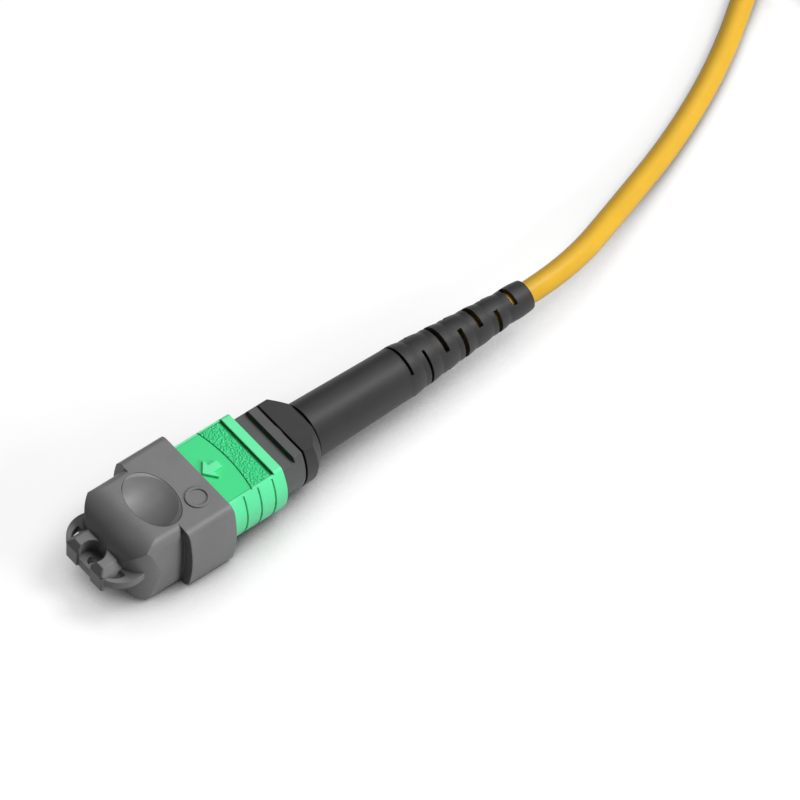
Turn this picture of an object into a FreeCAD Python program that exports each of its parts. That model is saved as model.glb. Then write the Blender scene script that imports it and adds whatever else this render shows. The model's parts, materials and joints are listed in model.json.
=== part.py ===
"""Twelve-fibre push-pull connector with its pull-off dust cap, slotted boot and a one metre cable tail.

Units are millimetres. Stations along the connector are measured from the dust cap's rear rim, forward
positive, and every solid is moved to the row frame when it is written: +X towards the mating face,
+Z up, origin on the floor under the middle of the connector.
"""

import FreeCAD
import Part
import math
import os

V = FreeCAD.Vector

# ---- driving dimensions: fibre interface -------------------------------------------------------
FERRULE_W = 6.4
FERRULE_H = 2.5
FERRULE_L = 8.0
FERRULE_SHOULDER_W = 7.2
FERRULE_SHOULDER_H = 3.1
FERRULE_SHOULDER_L = 2.0
FERRULE_TIP = 10.2
END_FACE_DEG = 8.0
PIN_R = 0.349
PIN_PITCH = 4.6
PIN_OUT = 2.0
FIBRE_COUNT = 12
FIBRE_PITCH = 0.25
FIBRE_HOLE_R = 0.0625
RIBBON_HALF_W = 1.55
RIBBON_HALF_H = 0.155
CLAMP_L = 1.0
CLAMP_HALF_W = 3.15
CLAMP_HALF_H = 1.55

# ---- driving dimensions: housings --------------------------------------------------------------
AXIS_Z = 4.9
SLEEVE_FLAT = 4.85
SLEEVE_HALF = 3.95
SLEEVE_BULGE = 1.35
SLEEVE_WALL = 0.8
BORE_FLAT = 4.4
BORE_BULGE = 1.0
SLEEVE_FRONT = 5.2
SLEEVE_REAR = -8.35
FLANGE_L = 1.2
PANEL_DEPTH = 0.25
HOUSING_FRONT = 9.2
HOUSING_REAR = -6.0
HOUSING_FLAT = 3.9
HOUSING_HALF = 3.0
HOUSING_BULGE = 1.0
NOSE_HALF_W = 4.3
KEY_HALF_W = 1.5
KEY_H = 0.45
TONGUE_HALF_W = 3.3
TONGUE_HALF_H = 1.8
TONGUE_FRONT = -4.0
HOOK_X = -4.85
HOOK_L = 0.8
HOOK_HALF_W = 1.1
HOOK_HALF_H = 2.4
SLEEVE_LUG_X = -0.95
SLEEVE_LUG_L = 0.65
SLEEVE_LUG_IN = 3.75
SLEEVE_LUG_HALF_H = 0.75
BACKBONE_STEP = -10.6
BACKBONE_REAR = -11.8
BASE_FRONT = -12.1
BASE_STRAIGHT = 1.35
BASE_REAR = -15.1
BASE_FLAT = 4.2
BASE_HALF = 3.4
BASE_BULGE = 1.0
LOW_HALF = 2.75
BASE_END_R = 3.95

# ---- driving dimensions: dust cap --------------------------------------------------------------
CAP_HALF = 4.9
CAP_SKIRT_L = 6.4
CAP_SKIRT_FLAT = 6.6
CAP_SKIRT_BULGE = 0.75
CAP_BOX_FLAT = 5.5
CAP_BOX_BULGE = 0.4
CAP_WALL = 0.8
PIN_ROOM = 0.7
CAP_FRONT = FERRULE_TIP + PIN_OUT + PIN_ROOM + CAP_WALL
CAP_NOSE_R = 4.2
CAP_CORNER_R = 4.0
CAP_EDGE_R = 1.2
RING_X = 2.3
RING_Y = 2.9
RING_R = 1.5
DISH_X = 6.6
DISH_HALF_X = 2.8
DISH_HALF_Y = 4.25
DISH_R = 11.0
DISH_DEPTH = 0.75
DISH_LEAN = 1.2
LUG_FRONT = CAP_FRONT + 2.6
LUG_HALF_W = 3.4
LUG_H = 3.1
LUG_BEVEL = 0.75
LUG_Z = AXIS_Z + 0.4
TETHER_HOLE_X = CAP_FRONT + 1.3
TETHER_HOLE_R = 0.6
TETHER_SINK_R = 1.55
TETHER_SINK_DEPTH = 1.9
STRAP_H = 1.1

# ---- driving dimensions: boot, crimp and cable -------------------------------------------------
CABLE_R = 1.5
BOOT_R_FRONT = 3.6
BOOT_R_MID = 3.3
BOOT_R_END = 2.1
BOOT_MID = -29.3
BOOT_END = -49.1
BOOT_GROOVE = 0.3
SLOT_PITCH = 2.75
SLOT_COUNT = 7
SLOT_TURN_DEG = 12.0
SLOT_SPAN_DEG = 124.0
BARREL_R = 2.5
BARREL_END = -18.0
CRIMP_R = 3.05
CRIMP_FRONT = -13.2
CRIMP_REAR = -17.6
SPRING_WIRE = 0.5
SIDE_WIRE = 0.22
SIDE_SPRING_R = 0.68
SIDE_SPRING_Y = 4.32
COIL_MID_R = 15.5
COIL_TURNS_WIDE = 4
COIL_LAYERS = 2
COIL_Z0 = 0.3
COIL_ENTRY_DEG = 280.0
TOP_TURN_R = 18.3
TOP_TURN_SINK = 0.1
TOP_TURN_DEG = 270.0
TOP_END_DEG = 180.0
END_RUN = 6.0
TIE_WIDTH = 6.0
TIE_THICK = 0.25
TIE_DEG = 235.0
YARN_END = 5.5
FIBRE_END = 13.0

# ---- named fits --------------------------------------------------------------------------------
RUNNING = 0.1
CAP_GAP = 0.15
PIN_GAP = 0.011
CRIMP_GAP = 0.02
BOOT_GAP = 0.05
FERRULE_GAP = 0.12

BASE_MID_X = (LUG_FRONT + BOOT_END) / 2.0
COIL_C = (-132.9, -14.3)
COIL_HALF_W = COIL_TURNS_WIDE * CABLE_R
COIL_H = COIL_LAYERS * 2 * CABLE_R
COIL_OUT_R = COIL_MID_R + COIL_HALF_W - CABLE_R
TOP_Z = COIL_Z0 + COIL_H + CABLE_R - TOP_TURN_SINK


def barrel_wire(x, flat, half, bulge, z=AXIS_Z):
    """Closed section with flat top and bottom and bowed sides, in the plane at station x."""
    top_l, top_r = V(x, -flat, z + half), V(x, flat, z + half)
    low_l, low_r = V(x, -flat, z - half), V(x, flat, z - half)
    right = Part.Arc(top_r, V(x, flat + bulge, z), low_r)
    left = Part.Arc(low_l, V(x, -flat - bulge, z), top_l)
    edges = [Part.LineSegment(top_l, top_r), right, Part.LineSegment(low_r, low_l), left]
    return Part.Wire([e.toShape() for e in edges])


def barrel(front, rear, flat, half, bulge, edge_r=0.0):
    """Prism of the barrel section between two stations, its four long edges rounded."""
    solid = Part.Face(barrel_wire(front, flat, half, bulge)).extrude(V(rear - front, 0, 0))
    if edge_r > 0:
        long_edges = [e for e in solid.Edges if abs(e.tangentAt(e.FirstParameter).x) > 0.99]
        solid = solid.makeFillet(edge_r, long_edges)
    return solid


def block(x0, x1, half_y, half_z, z=AXIS_Z, y=0.0):
    """Box between two stations, centred on y and z."""
    low = min(x0, x1)
    return Part.makeBox(abs(x1 - x0), 2 * half_y, 2 * half_z, V(low, y - half_y, z - half_z))


def rod(x0, x1, radius, y=0.0, z=AXIS_Z):
    """Cylinder along the connector between two stations."""
    low = min(x0, x1)
    return Part.makeCylinder(radius, abs(x1 - x0), V(low, y, z), V(1, 0, 0))


def prism_z(points, z0, z1):
    """Upright prism of a plan outline."""
    wire = Part.makePolygon([V(x, y, z0) for x, y in points] + [V(points[0][0], points[0][1], z0)])
    return Part.Face(wire).extrude(V(0, 0, z1 - z0))


def both(shape):
    """The shape and its twin on the other side of the connector."""
    return [shape, shape.mirror(V(0, 0, 0), V(0, 1, 0))]


# ---- dust cap ----------------------------------------------------------------------------------
def rounded_end(x0, x1, half, radius, plane):
    """Outline of a block whose forward corners are rounded, in plan or in side view."""
    k = math.sqrt(0.5) * radius
    raw = [(x0, -half), (x1 - radius, -half), (x1 - radius + k, -half + radius - k), (x1, -half + radius),
           (x1, half - radius), (x1 - radius + k, half - radius + k), (x1 - radius, half), (x0, half)]
    if plane == "plan":
        p = [V(a, b, -1.0) for a, b in raw]
        reach = V(0, 0, 2 * CAP_HALF + 2.0)
    else:
        p = [V(a, -10.0, AXIS_Z + b) for a, b in raw]
        reach = V(0, 20.0, 0)
    edges = [Part.LineSegment(p[0], p[1]), Part.Arc(p[1], p[2], p[3]), Part.LineSegment(p[3], p[4]),
             Part.Arc(p[4], p[5], p[6]), Part.LineSegment(p[6], p[7]), Part.LineSegment(p[7], p[0])]
    return Part.Face(Part.Wire([e.toShape() for e in edges])).extrude(reach)


def cap_outer():
    """Wide rear skirt and the narrower nose with its big rounded front."""
    skirt = barrel(CAP_SKIRT_L, 0.0, CAP_SKIRT_FLAT, CAP_HALF, CAP_SKIRT_BULGE, CAP_EDGE_R)
    nose = barrel(CAP_FRONT, 2.0, CAP_BOX_FLAT, CAP_HALF, CAP_BOX_BULGE, CAP_EDGE_R)
    nose = nose.common(rounded_end(0.0, CAP_FRONT, CAP_HALF, CAP_NOSE_R, "side"))
    half = CAP_BOX_FLAT + CAP_BOX_BULGE
    nose = nose.common(rounded_end(0.0, CAP_FRONT, half, CAP_CORNER_R, "plan"))
    return skirt.fuse(nose)


def thumb_dish():
    """Oval thumb recess in the top: deep against its forward wall, running out to the rear."""
    top = AXIS_Z + CAP_HALF
    ball = Part.makeSphere(DISH_R, V(DISH_X + DISH_LEAN, 0, top + DISH_R - DISH_DEPTH))
    oval = Part.Ellipse(V(0, 0, 0), DISH_HALF_Y, DISH_HALF_X).toShape()
    oval.rotate(V(0, 0, 0), V(0, 0, 1), 90)
    oval.translate(V(DISH_X, 0, top - 2.0))
    return Part.Face(Part.Wire([oval])).extrude(V(0, 0, 3.0)).common(ball)


def tether_lug():
    """Lug with the countersunk tether hole, and the two strap ears that tie it to the corners."""
    lug = block(CAP_FRONT - 0.6, LUG_FRONT, LUG_HALF_W, LUG_H / 2, LUG_Z)
    top_z = LUG_Z + LUG_H / 2
    lug = lug.makeChamfer(LUG_BEVEL, [e for e in lug.Edges if e.CenterOfMass.x > CAP_FRONT
                                      and abs(e.CenterOfMass.z - top_z) < 0.01])
    lug = lug.makeFillet(0.35, [e for e in lug.Edges if abs(e.tangentAt(0).z) > 0.3
                                and e.CenterOfMass.x > CAP_FRONT + 1.0])
    z0 = LUG_Z - STRAP_H / 2
    for side in (1, -1):
        a, b, c = (CAP_FRONT - 2.2, 5.25), (LUG_FRONT - 1.45, 4.85), (LUG_FRONT - 0.1, LUG_HALF_W - 0.5)
        start, mid, end = [V(x, side * y, z0) for x, y in (a, b, c)]
        back = V(CAP_FRONT - 2.2, side * 2.5, z0)
        edges = [Part.Arc(start, mid, end), Part.LineSegment(end, back), Part.LineSegment(back, start)]
        ear = Part.Face(Part.Wire([e.toShape() for e in edges])).extrude(V(0, 0, STRAP_H))
        top, far = V(CAP_FRONT + 0.02, side * (LUG_HALF_W + 0.95), z0), V(15.45, side * LUG_HALF_W, z0)
        root = V(CAP_FRONT + 0.02, side * LUG_HALF_W, z0)
        bow = V(14.85, side * (LUG_HALF_W + 0.62), z0)
        hole = [Part.LineSegment(root, top), Part.Arc(top, bow, far), Part.LineSegment(far, root)]
        window = Part.Face(Part.Wire([e.toShape() for e in hole])).extrude(V(0, 0, STRAP_H))
        lug = lug.fuse(ear.cut(window))
    sink = Part.makeCylinder(TETHER_SINK_R, TETHER_SINK_DEPTH + 1, V(TETHER_HOLE_X, 0, top_z - TETHER_SINK_DEPTH))
    hole = Part.makeCylinder(TETHER_HOLE_R, LUG_H + 2, V(TETHER_HOLE_X, 0, LUG_Z - LUG_H))
    notch = block(LUG_FRONT - 0.22, LUG_FRONT + 1, 1.25, LUG_H, LUG_Z)
    return lug.cut(sink).cut(hole).cut(notch)


def dust_cap():
    """Pull-off cap: hollow for the sleeve, then for the plug's nose and the guide pins."""
    body = cap_outer().cut(thumb_dish())
    ring_z = AXIS_Z + CAP_HALF - 0.05
    spot = V(RING_X, RING_Y, ring_z)
    ring = Part.makeCylinder(RING_R, 0.17, spot).cut(Part.makeCylinder(RING_R - 0.4, 0.17, spot))
    body = body.fuse(ring).fuse(tether_lug())
    deep = SLEEVE_FRONT + 2 * CAP_GAP
    mouth = barrel(deep, -1.0, SLEEVE_FLAT + CAP_GAP / 3, SLEEVE_HALF + CAP_GAP, SLEEVE_BULGE + CAP_GAP)
    nose = block(SLEEVE_FRONT, HOUSING_FRONT + 2 * CAP_GAP, NOSE_HALF_W + CAP_GAP, HOUSING_HALF + CAP_GAP)
    well = block(HOUSING_FRONT, FERRULE_TIP + 0.5, FERRULE_W / 2 + 0.5, FERRULE_H / 2 + 0.5)
    well = well.fuse(block(HOUSING_FRONT, CAP_FRONT - CAP_WALL, PIN_PITCH / 2 + 0.7, FERRULE_H / 2 + 0.2))
    keyway = block(SLEEVE_FRONT, HOUSING_FRONT + 2 * CAP_GAP, KEY_HALF_W + CAP_GAP, KEY_H + 2 * CAP_GAP,
                   AXIS_Z + HOUSING_HALF + CAP_GAP)
    return body.cut(mouth).cut(nose).cut(well).cut(keyway).removeSplitter()


# ---- coupling sleeve ---------------------------------------------------------------------------
def sleeve_panel(z_side):
    """Material taken off one flat: the sunk grip panel, its deeper rear groove and bowed step."""
    top = AXIS_Z + z_side * SLEEVE_HALF
    rear = SLEEVE_REAR + FLANGE_L
    wide = SLEEVE_FLAT + SLEEVE_BULGE
    sunk = block(rear, SLEEVE_FRONT + 1, wide, PANEL_DEPTH, top)
    groove = block(rear, rear + 0.45, SLEEVE_FLAT - 0.1, PANEL_DEPTH + 0.15, top)
    front, z0 = -3.6, top - PANEL_DEPTH - 0.1
    ends = [V(front, wide, z0), V(front - 0.9, 0, z0), V(front, -wide, z0)]
    tip = [V(SLEEVE_FRONT + 1, -wide, z0), V(SLEEVE_FRONT + 1, wide, z0)]
    edges = [Part.Arc(ends[0], ends[1], ends[2]), Part.LineSegment(ends[2], tip[0]),
             Part.LineSegment(tip[0], tip[1]), Part.LineSegment(tip[1], ends[0])]
    smooth = Part.Face(Part.Wire([e.toShape() for e in edges])).extrude(V(0, 0, 2 * PANEL_DEPTH + 0.2))
    return sunk.fuse(groove).fuse(smooth)


def pull_arrow():
    """Raised plain arrow on the sunk panel, pointing to the mating face."""
    z0 = AXIS_Z + SLEEVE_HALF - PANEL_DEPTH - 0.15
    top = AXIS_Z + SLEEVE_HALF - 0.04
    points = [(-0.7, 0.0), (-1.9, 1.5), (-1.9, 0.55), (-3.1, 0.55), (-3.1, -0.55), (-1.9, -0.55), (-1.9, -1.5)]
    return prism_z(points, z0, top)


def coupling_sleeve():
    """Sprung outer sleeve: its two inner lugs push the side springs when it is pulled back."""
    shell = barrel(SLEEVE_FRONT, SLEEVE_REAR, SLEEVE_FLAT, SLEEVE_HALF, SLEEVE_BULGE, 0.5)
    inner_half = SLEEVE_HALF - SLEEVE_WALL
    bore = barrel(SLEEVE_FRONT + 1, SLEEVE_REAR - 1, BORE_FLAT, inner_half, BORE_BULGE)
    inset = barrel(SLEEVE_FRONT, SLEEVE_REAR, SLEEVE_FLAT - 0.16, SLEEVE_HALF, SLEEVE_BULGE)
    for k in range(3):
        x = -2.5 - 2.05 * k
        rib = block(x - 0.14, x + 0.14, 2 * SLEEVE_FLAT, SLEEVE_HALF - 0.45)
        shell = shell.cut(rib.cut(inset))
    shell = shell.cut(sleeve_panel(1)).cut(sleeve_panel(-1)).fuse(pull_arrow()).cut(bore)
    key_gap = block(SLEEVE_FRONT - 4.0, SLEEVE_FRONT + 1, KEY_HALF_W + RUNNING, KEY_H + 0.05,
                    AXIS_Z + HOUSING_HALF + 0.3)
    shell = shell.cut(key_gap)
    reach = BORE_FLAT + BORE_BULGE + 0.2 - SLEEVE_LUG_IN
    lug = block(SLEEVE_LUG_X, SLEEVE_LUG_X + SLEEVE_LUG_L, reach / 2, SLEEVE_LUG_HALF_H, AXIS_Z,
                SLEEVE_LUG_IN + reach / 2)
    return shell.fuse(both(lug)).removeSplitter()


# ---- inner housing and fibre interface ---------------------------------------------------------
def inner_housing():
    """Plug body: ferrule bore with its shoulder, latch recesses, spring channels and key."""
    rear = FERRULE_TIP - FERRULE_L
    seat = rear + FERRULE_SHOULDER_L
    body = barrel(HOUSING_FRONT, HOUSING_REAR, HOUSING_FLAT, HOUSING_HALF, HOUSING_BULGE)
    nose_trim = block(SLEEVE_FRONT + 0.1, HOUSING_FRONT + 1, 2 * HOUSING_FLAT, 2 * HOUSING_HALF)
    nose_keep = block(SLEEVE_FRONT - 1, HOUSING_FRONT, NOSE_HALF_W, HOUSING_HALF)
    nose_keep = nose_keep.makeChamfer(0.5, [e for e in nose_keep.Edges if e.CenterOfMass.x > HOUSING_FRONT - 0.1])
    body = body.cut(nose_trim.cut(nose_keep))
    key = block(SLEEVE_FRONT - 3.8, HOUSING_FRONT - 0.8, KEY_HALF_W, KEY_H, AXIS_Z + HOUSING_HALF + 0.1)
    body = body.fuse(key)
    front_bore = block(seat - 0.2, HOUSING_FRONT + 1, FERRULE_W / 2 + FERRULE_GAP, FERRULE_H / 2 + FERRULE_GAP)
    shoulder = block(rear - CLAMP_L - 0.2, seat + 0.05, FERRULE_SHOULDER_W / 2 + FERRULE_GAP,
                     FERRULE_SHOULDER_H / 2 + FERRULE_GAP)
    rear_bore = block(HOUSING_REAR - 1, rear - CLAMP_L - 0.1, TONGUE_HALF_W + RUNNING, TONGUE_HALF_H + RUNNING)
    channel = block(HOUSING_REAR - 1, SLEEVE_LUG_X + SLEEVE_LUG_L + RUNNING, HOUSING_FLAT, SLEEVE_LUG_HALF_H + 0.2,
                    AXIS_Z, SLEEVE_LUG_IN - 0.15 + HOUSING_FLAT)
    recess = block(6.2, 8.2, HOUSING_HALF, 1.3, AXIS_Z, SLEEVE_LUG_IN + HOUSING_HALF)
    window = block(HOOK_X - HOOK_L / 2 - RUNNING, HOOK_X + HOOK_L / 2 + RUNNING, HOOK_HALF_W + RUNNING,
                   2 * HOUSING_HALF)
    body = body.cut(front_bore).cut(shoulder).cut(rear_bore).cut(window)
    return body.cut(both(channel)).cut(both(recess)).removeSplitter()


def mt_ferrule():
    """Rectangular moulded ferrule with an angled end face, glue window, pin holes and fibre holes."""
    tip, rear = FERRULE_TIP, FERRULE_TIP - FERRULE_L
    body = block(rear, tip, FERRULE_W / 2, FERRULE_H / 2)
    body = body.fuse(block(rear, rear + FERRULE_SHOULDER_L, FERRULE_SHOULDER_W / 2, FERRULE_SHOULDER_H / 2))
    wedge = block(tip, tip + 3, 6.0, 4.0, AXIS_Z)
    wedge.rotate(V(tip, 0, AXIS_Z + FERRULE_H / 2), V(0, 1, 0), END_FACE_DEG)
    window = block(rear + 2.6, rear + 5.0, 1.6, 0.6, AXIS_Z + FERRULE_H / 2)
    pocket = block(rear - 1, rear + 2.2, RIBBON_HALF_W + 0.5, 0.95)
    slot = block(rear - 1, rear + 5.0, RIBBON_HALF_W + 0.07, RIBBON_HALF_H + 0.07)
    body = body.cut(wedge).cut(window).cut(pocket).cut(slot)
    for y in (-PIN_PITCH / 2, PIN_PITCH / 2):
        body = body.cut(rod(rear - 1, tip + 1, PIN_R + PIN_GAP, y))
    for k in range(FIBRE_COUNT):
        y = (k - (FIBRE_COUNT - 1) / 2) * FIBRE_PITCH
        body = body.cut(rod(tip - 0.9, tip + 1, FIBRE_HOLE_R, y))
    return body.removeSplitter()


def guide_pin(y):
    """Steel guide pin with a domed tip, held by the clamp behind the ferrule."""
    rear, tip = FERRULE_TIP - FERRULE_L - 0.9, FERRULE_TIP + PIN_OUT
    pin = rod(rear, tip, PIN_R, y)
    ends = [e for e in pin.Edges if e.CenterOfMass.x > tip - 0.01 and len(e.Vertexes) == 1]
    return pin.makeChamfer(0.15, ends)


def pin_clamp():
    """Metal clamp behind the ferrule: carries both pins and takes the spring."""
    rear = FERRULE_TIP - FERRULE_L
    plate = block(rear - CLAMP_L, rear, CLAMP_HALF_W, CLAMP_HALF_H)
    plate = plate.cut(block(rear - 2, rear + 1, 1.75, 1.0))
    for y in (-PIN_PITCH / 2, PIN_PITCH / 2):
        plate = plate.cut(rod(rear - 2, rear + 1, PIN_R + PIN_GAP, y))
    return plate


def ferrule_boot():
    """Small rubber boot that guides the ribbon into the ferrule."""
    rear = FERRULE_TIP - FERRULE_L
    body = block(rear - 3.4, rear + 2.15, RIBBON_HALF_W + 0.15, 0.9)
    return body.cut(block(rear - 4, rear + 3, RIBBON_HALF_W + 0.05, RIBBON_HALF_H + 0.05))


def fibre_ribbon():
    """Twelve-fibre ribbon from the ferrule back through the crimp to the cable."""
    return block(FERRULE_TIP - FERRULE_L + 4.9, CRIMP_REAR + 0.7, RIBBON_HALF_W, RIBBON_HALF_H)


# ---- springs -----------------------------------------------------------------------------------
def coil_spring(x0, x1, ry, rz, wire, turns, y=0.0):
    """Spring along the connector, oval when ry and rz differ, with a square wire."""
    steps = 16
    points = []
    for k in range(turns * steps + 1):
        a = 2 * math.pi * k / steps
        x = x0 + wire / 2 + (x1 - x0 - wire) * k / (turns * steps)
        points.append(V(x, y + ry * math.cos(a), AXIS_Z + rz * math.sin(a)))
    path = Part.BSplineCurve()
    path.interpolate(points)
    h = wire / 2
    p = points[0]
    corners = [V(p.x - h, p.y - h, p.z), V(p.x + h, p.y - h, p.z), V(p.x + h, p.y + h, p.z), V(p.x - h, p.y + h, p.z)]
    profile = Part.makePolygon(corners + [corners[0]])
    pipe = Part.BRepOffsetAPI.MakePipeShell(Part.Wire([path.toShape()]))
    pipe.setBiNormalMode(V(1, 0, 0))
    pipe.add(profile)
    pipe.build()
    pipe.makeSolid()
    return pipe.shape()


def main_spring():
    """Oval spring that holds the ferrule forward."""
    return coil_spring(TONGUE_FRONT, FERRULE_TIP - FERRULE_L - CLAMP_L, 2.85, 1.45, SPRING_WIRE, 4)


def sleeve_spring(side):
    """Side spring that returns the coupling sleeve."""
    return coil_spring(HOUSING_REAR, SLEEVE_LUG_X, SIDE_SPRING_R - SIDE_WIRE / 2, SIDE_SPRING_R - SIDE_WIRE / 2,
                       SIDE_WIRE, 6, side * SIDE_SPRING_Y)


# ---- backbone and crimp ------------------------------------------------------------------------
def backbone():
    """Rear body: tongue that snaps into the housing, stepped grip block and crimp barrel."""
    body = barrel(HOUSING_REAR, BACKBONE_STEP, BASE_FLAT, BASE_HALF, BASE_BULGE)
    body = body.common(block(HOUSING_REAR, BACKBONE_STEP, 2 * BASE_FLAT, LOW_HALF))
    ridge = barrel(BACKBONE_STEP, BACKBONE_REAR, BASE_FLAT, BASE_HALF, BASE_BULGE)
    tongue = block(HOUSING_REAR, TONGUE_FRONT, TONGUE_HALF_W, TONGUE_HALF_H)
    hook = block(HOOK_X - HOOK_L / 2, HOOK_X + HOOK_L / 2, HOOK_HALF_W, HOOK_HALF_H)
    neck = rod(BACKBONE_REAR, BASE_FRONT, 3.2)
    tube = rod(BASE_FRONT, BARREL_END, BARREL_R)
    body = body.fuse([ridge, tongue, hook, neck, tube])
    for k in range(5):
        x = -13.6 - 0.8 * k
        ring = rod(x - 0.15, x + 0.15, BARREL_R + 1).cut(rod(x - 0.2, x + 0.2, BARREL_R - 0.18))
        body = body.cut(ring)
    body = body.cut(rod(HOUSING_REAR + 0.1, BARREL_END - 1, 1.75)).cut(block(HOUSING_REAR, TONGUE_FRONT + 1, 2.3, 1.1))
    return body.removeSplitter()


def aramid_yarn():
    """Strength yarn folded back over the crimp barrel."""
    outer = rod(CRIMP_FRONT + 0.2, CRIMP_REAR - 0.2, CRIMP_R - 0.3 - CRIMP_GAP)
    return outer.cut(rod(CRIMP_FRONT + 1, CRIMP_REAR - 1, BARREL_R + CRIMP_GAP))


def crimp_ring():
    """Metal ring crimped over the yarn, with two rolled beads."""
    ring = rod(CRIMP_FRONT, CRIMP_REAR, CRIMP_R)
    for x in (CRIMP_FRONT - 1.2, CRIMP_REAR + 1.2):
        band = rod(x - 0.2, x + 0.2, CRIMP_R + 1).cut(rod(x - 0.3, x + 0.3, CRIMP_R - 0.1))
        ring = ring.cut(band)
    return ring.cut(rod(CRIMP_FRONT + 1, CRIMP_REAR - 1, CRIMP_R - 0.3))


# ---- boot --------------------------------------------------------------------------------------
def boot_radius(x):
    """Outer radius of the slotted tail at a station, without the barrel shape of the segments."""
    t = (BOOT_MID - x) / (BOOT_MID - BOOT_END)
    ease = min(1.0, t / 0.86)
    return BOOT_R_MID + (BOOT_R_END - 0.15 - BOOT_R_MID) * ease ** 0.9


def tail_profile():
    """Half section of the slotted tail: seven shallow barrels and a plain end ring."""
    edges = []
    last = (BOOT_MID, BOOT_R_MID)
    for k in range(SLOT_COUNT):
        x1 = BOOT_MID - SLOT_PITCH * (k + 1) + 0.35
        if k == SLOT_COUNT - 1:
            x1 = BOOT_END
        r1 = boot_radius(x1)
        xm = (last[0] + x1) / 2
        rm = (last[1] + r1) / 2 + 0.12
        p = [V(last[0], 0, last[1]), V(xm, 0, rm), V(x1, 0, r1)]
        edges.append(Part.Arc(p[0], p[1], p[2]).toShape())
        last = (x1, r1)
    return edges, last


def boot_tail():
    """Turned body of the tail."""
    edges, last = tail_profile()
    close = [V(last[0], 0, last[1]), V(last[0], 0, 0), V(BOOT_MID, 0, 0), V(BOOT_MID, 0, BOOT_R_MID)]
    for a, b in zip(close[:-1], close[1:]):
        edges.append(Part.makeLine(a, b))
    face = Part.Face(Part.Wire(Part.__sortEdges__(edges)))
    solid = face.revolve(V(0, 0, 0), V(1, 0, 0), 360)
    solid.translate(V(0, 0, AXIS_Z))
    return solid


def tail_slots():
    """Pairs of bending slots, each pair a quarter turn from the last, down to the cable bore."""
    cuts = []
    for k in range(SLOT_COUNT):
        x = BOOT_MID - 0.35 - SLOT_PITCH * k
        width = (0.36, 0.36, 0.62, 0.62, 0.66, 0.56, 0.66)[k]
        span = SLOT_SPAN_DEG - 14.0 * (k // 4)
        for turn in (0, 180):
            disc = Part.makeCylinder(6.0, width, V(x - width, 0, 0), V(1, 0, 0), span)
            mid = 90.0 * (k % 2 == 0) + SLOT_TURN_DEG + turn
            disc.rotate(V(0, 0, 0), V(1, 0, 0), mid - span / 2 - disc_start(disc))
            disc.translate(V(0, 0, AXIS_Z))
            cuts.append(disc)
    return cuts


def disc_start(disc):
    """Angle from +Y towards +Z at which a part cylinder starts."""
    flat = [f for f in disc.Faces if isinstance(f.Surface, Part.Plane) and abs(f.normalAt(0, 0).x) < 0.5]
    angles = sorted(math.degrees(math.atan2(f.CenterOfMass.z, f.CenterOfMass.y)) % 360 for f in flat)
    gap = (angles[1] - angles[0]) % 360
    return angles[0] if gap < 180 else angles[1] - 360


def boot():
    """Rubber boot: keyed front block, plain barrel and the slotted tail, one moulding."""
    head = barrel(BASE_FRONT, BASE_REAR, BASE_FLAT, BASE_HALF, BASE_BULGE)
    corner_r = math.hypot(BASE_FLAT, BASE_HALF)
    slope = (corner_r - BASE_END_R) / (BASE_FRONT - BASE_STRAIGHT - BASE_REAR)
    front_r = BASE_END_R + slope * (BASE_FRONT - BASE_REAR)
    head = head.common(Part.makeCone(front_r, BASE_END_R, BASE_FRONT - BASE_REAR, V(BASE_FRONT, 0, AXIS_Z), V(-1, 0, 0)))
    neck = rod(BASE_REAR, BASE_REAR - 0.5, BOOT_R_FRONT - 0.35)
    start = BASE_REAR - BOOT_GROOVE
    plain = Part.makeCone(BOOT_R_FRONT, BOOT_R_MID, start - BOOT_MID, V(start, 0, AXIS_Z), V(-1, 0, 0))
    body = head.fuse([neck, plain, boot_tail()])
    body = body.cut(rod(BASE_FRONT + 1, BARREL_END - 0.5, CRIMP_R + BOOT_GAP))
    body = body.cut(rod(BASE_FRONT + 1, BOOT_END - 1, CABLE_R + BOOT_GAP))
    for cut in tail_slots():
        body = body.cut(cut)
    return body


# ---- cable -------------------------------------------------------------------------------------
def on_coil(radius, degrees):
    """Point in plan at that radius and angle about the coil's centre."""
    a = math.radians(degrees)
    return COIL_C[0] + radius * math.cos(a), COIL_C[1] + radius * math.sin(a)


def cable_route():
    """Corner points of the free run, from the boot's mouth to the outermost turn of the coil."""
    x, y = on_coil(COIL_OUT_R, COIL_ENTRY_DEG)
    return [V(BOOT_END, 0, AXIS_Z), V(BOOT_END - 7.0, 0, AXIS_Z), V(-68.5, -4.7, 2.7), V(-81.2, -9.3, CABLE_R),
            V(-93.4, -15.0, CABLE_R), V(-104.6, -22.2, CABLE_R), V(-117.1, -31.8, CABLE_R),
            V(x, y, COIL_Z0 + CABLE_R)]


def arc_path(points):
    """Straight runs joined by tangent arcs, and the radii of those arcs."""
    edges, radii = [], []
    here = points[0]
    for i in range(1, len(points) - 1):
        back, ahead = points[i - 1] - points[i], points[i + 1] - points[i]
        half = (math.pi - back.getAngle(ahead)) / 2
        trim = 0.45 * min(back.Length, ahead.Length)
        radii.append(trim / math.tan(half))
        u, w = V(back).normalize(), V(ahead).normalize()
        p, q = points[i] + u * trim, points[i] + w * trim
        centre_dir = (u + w).normalize()
        centre = points[i] + centre_dir * (radii[-1] / math.cos(half))
        edges.append(Part.makeLine(here, p))
        edges.append(Part.Arc(p, centre - centre_dir * radii[-1], q).toShape())
        here = q
    edges.append(Part.makeLine(here, points[-1]))
    return Part.Wire(edges), radii


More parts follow.
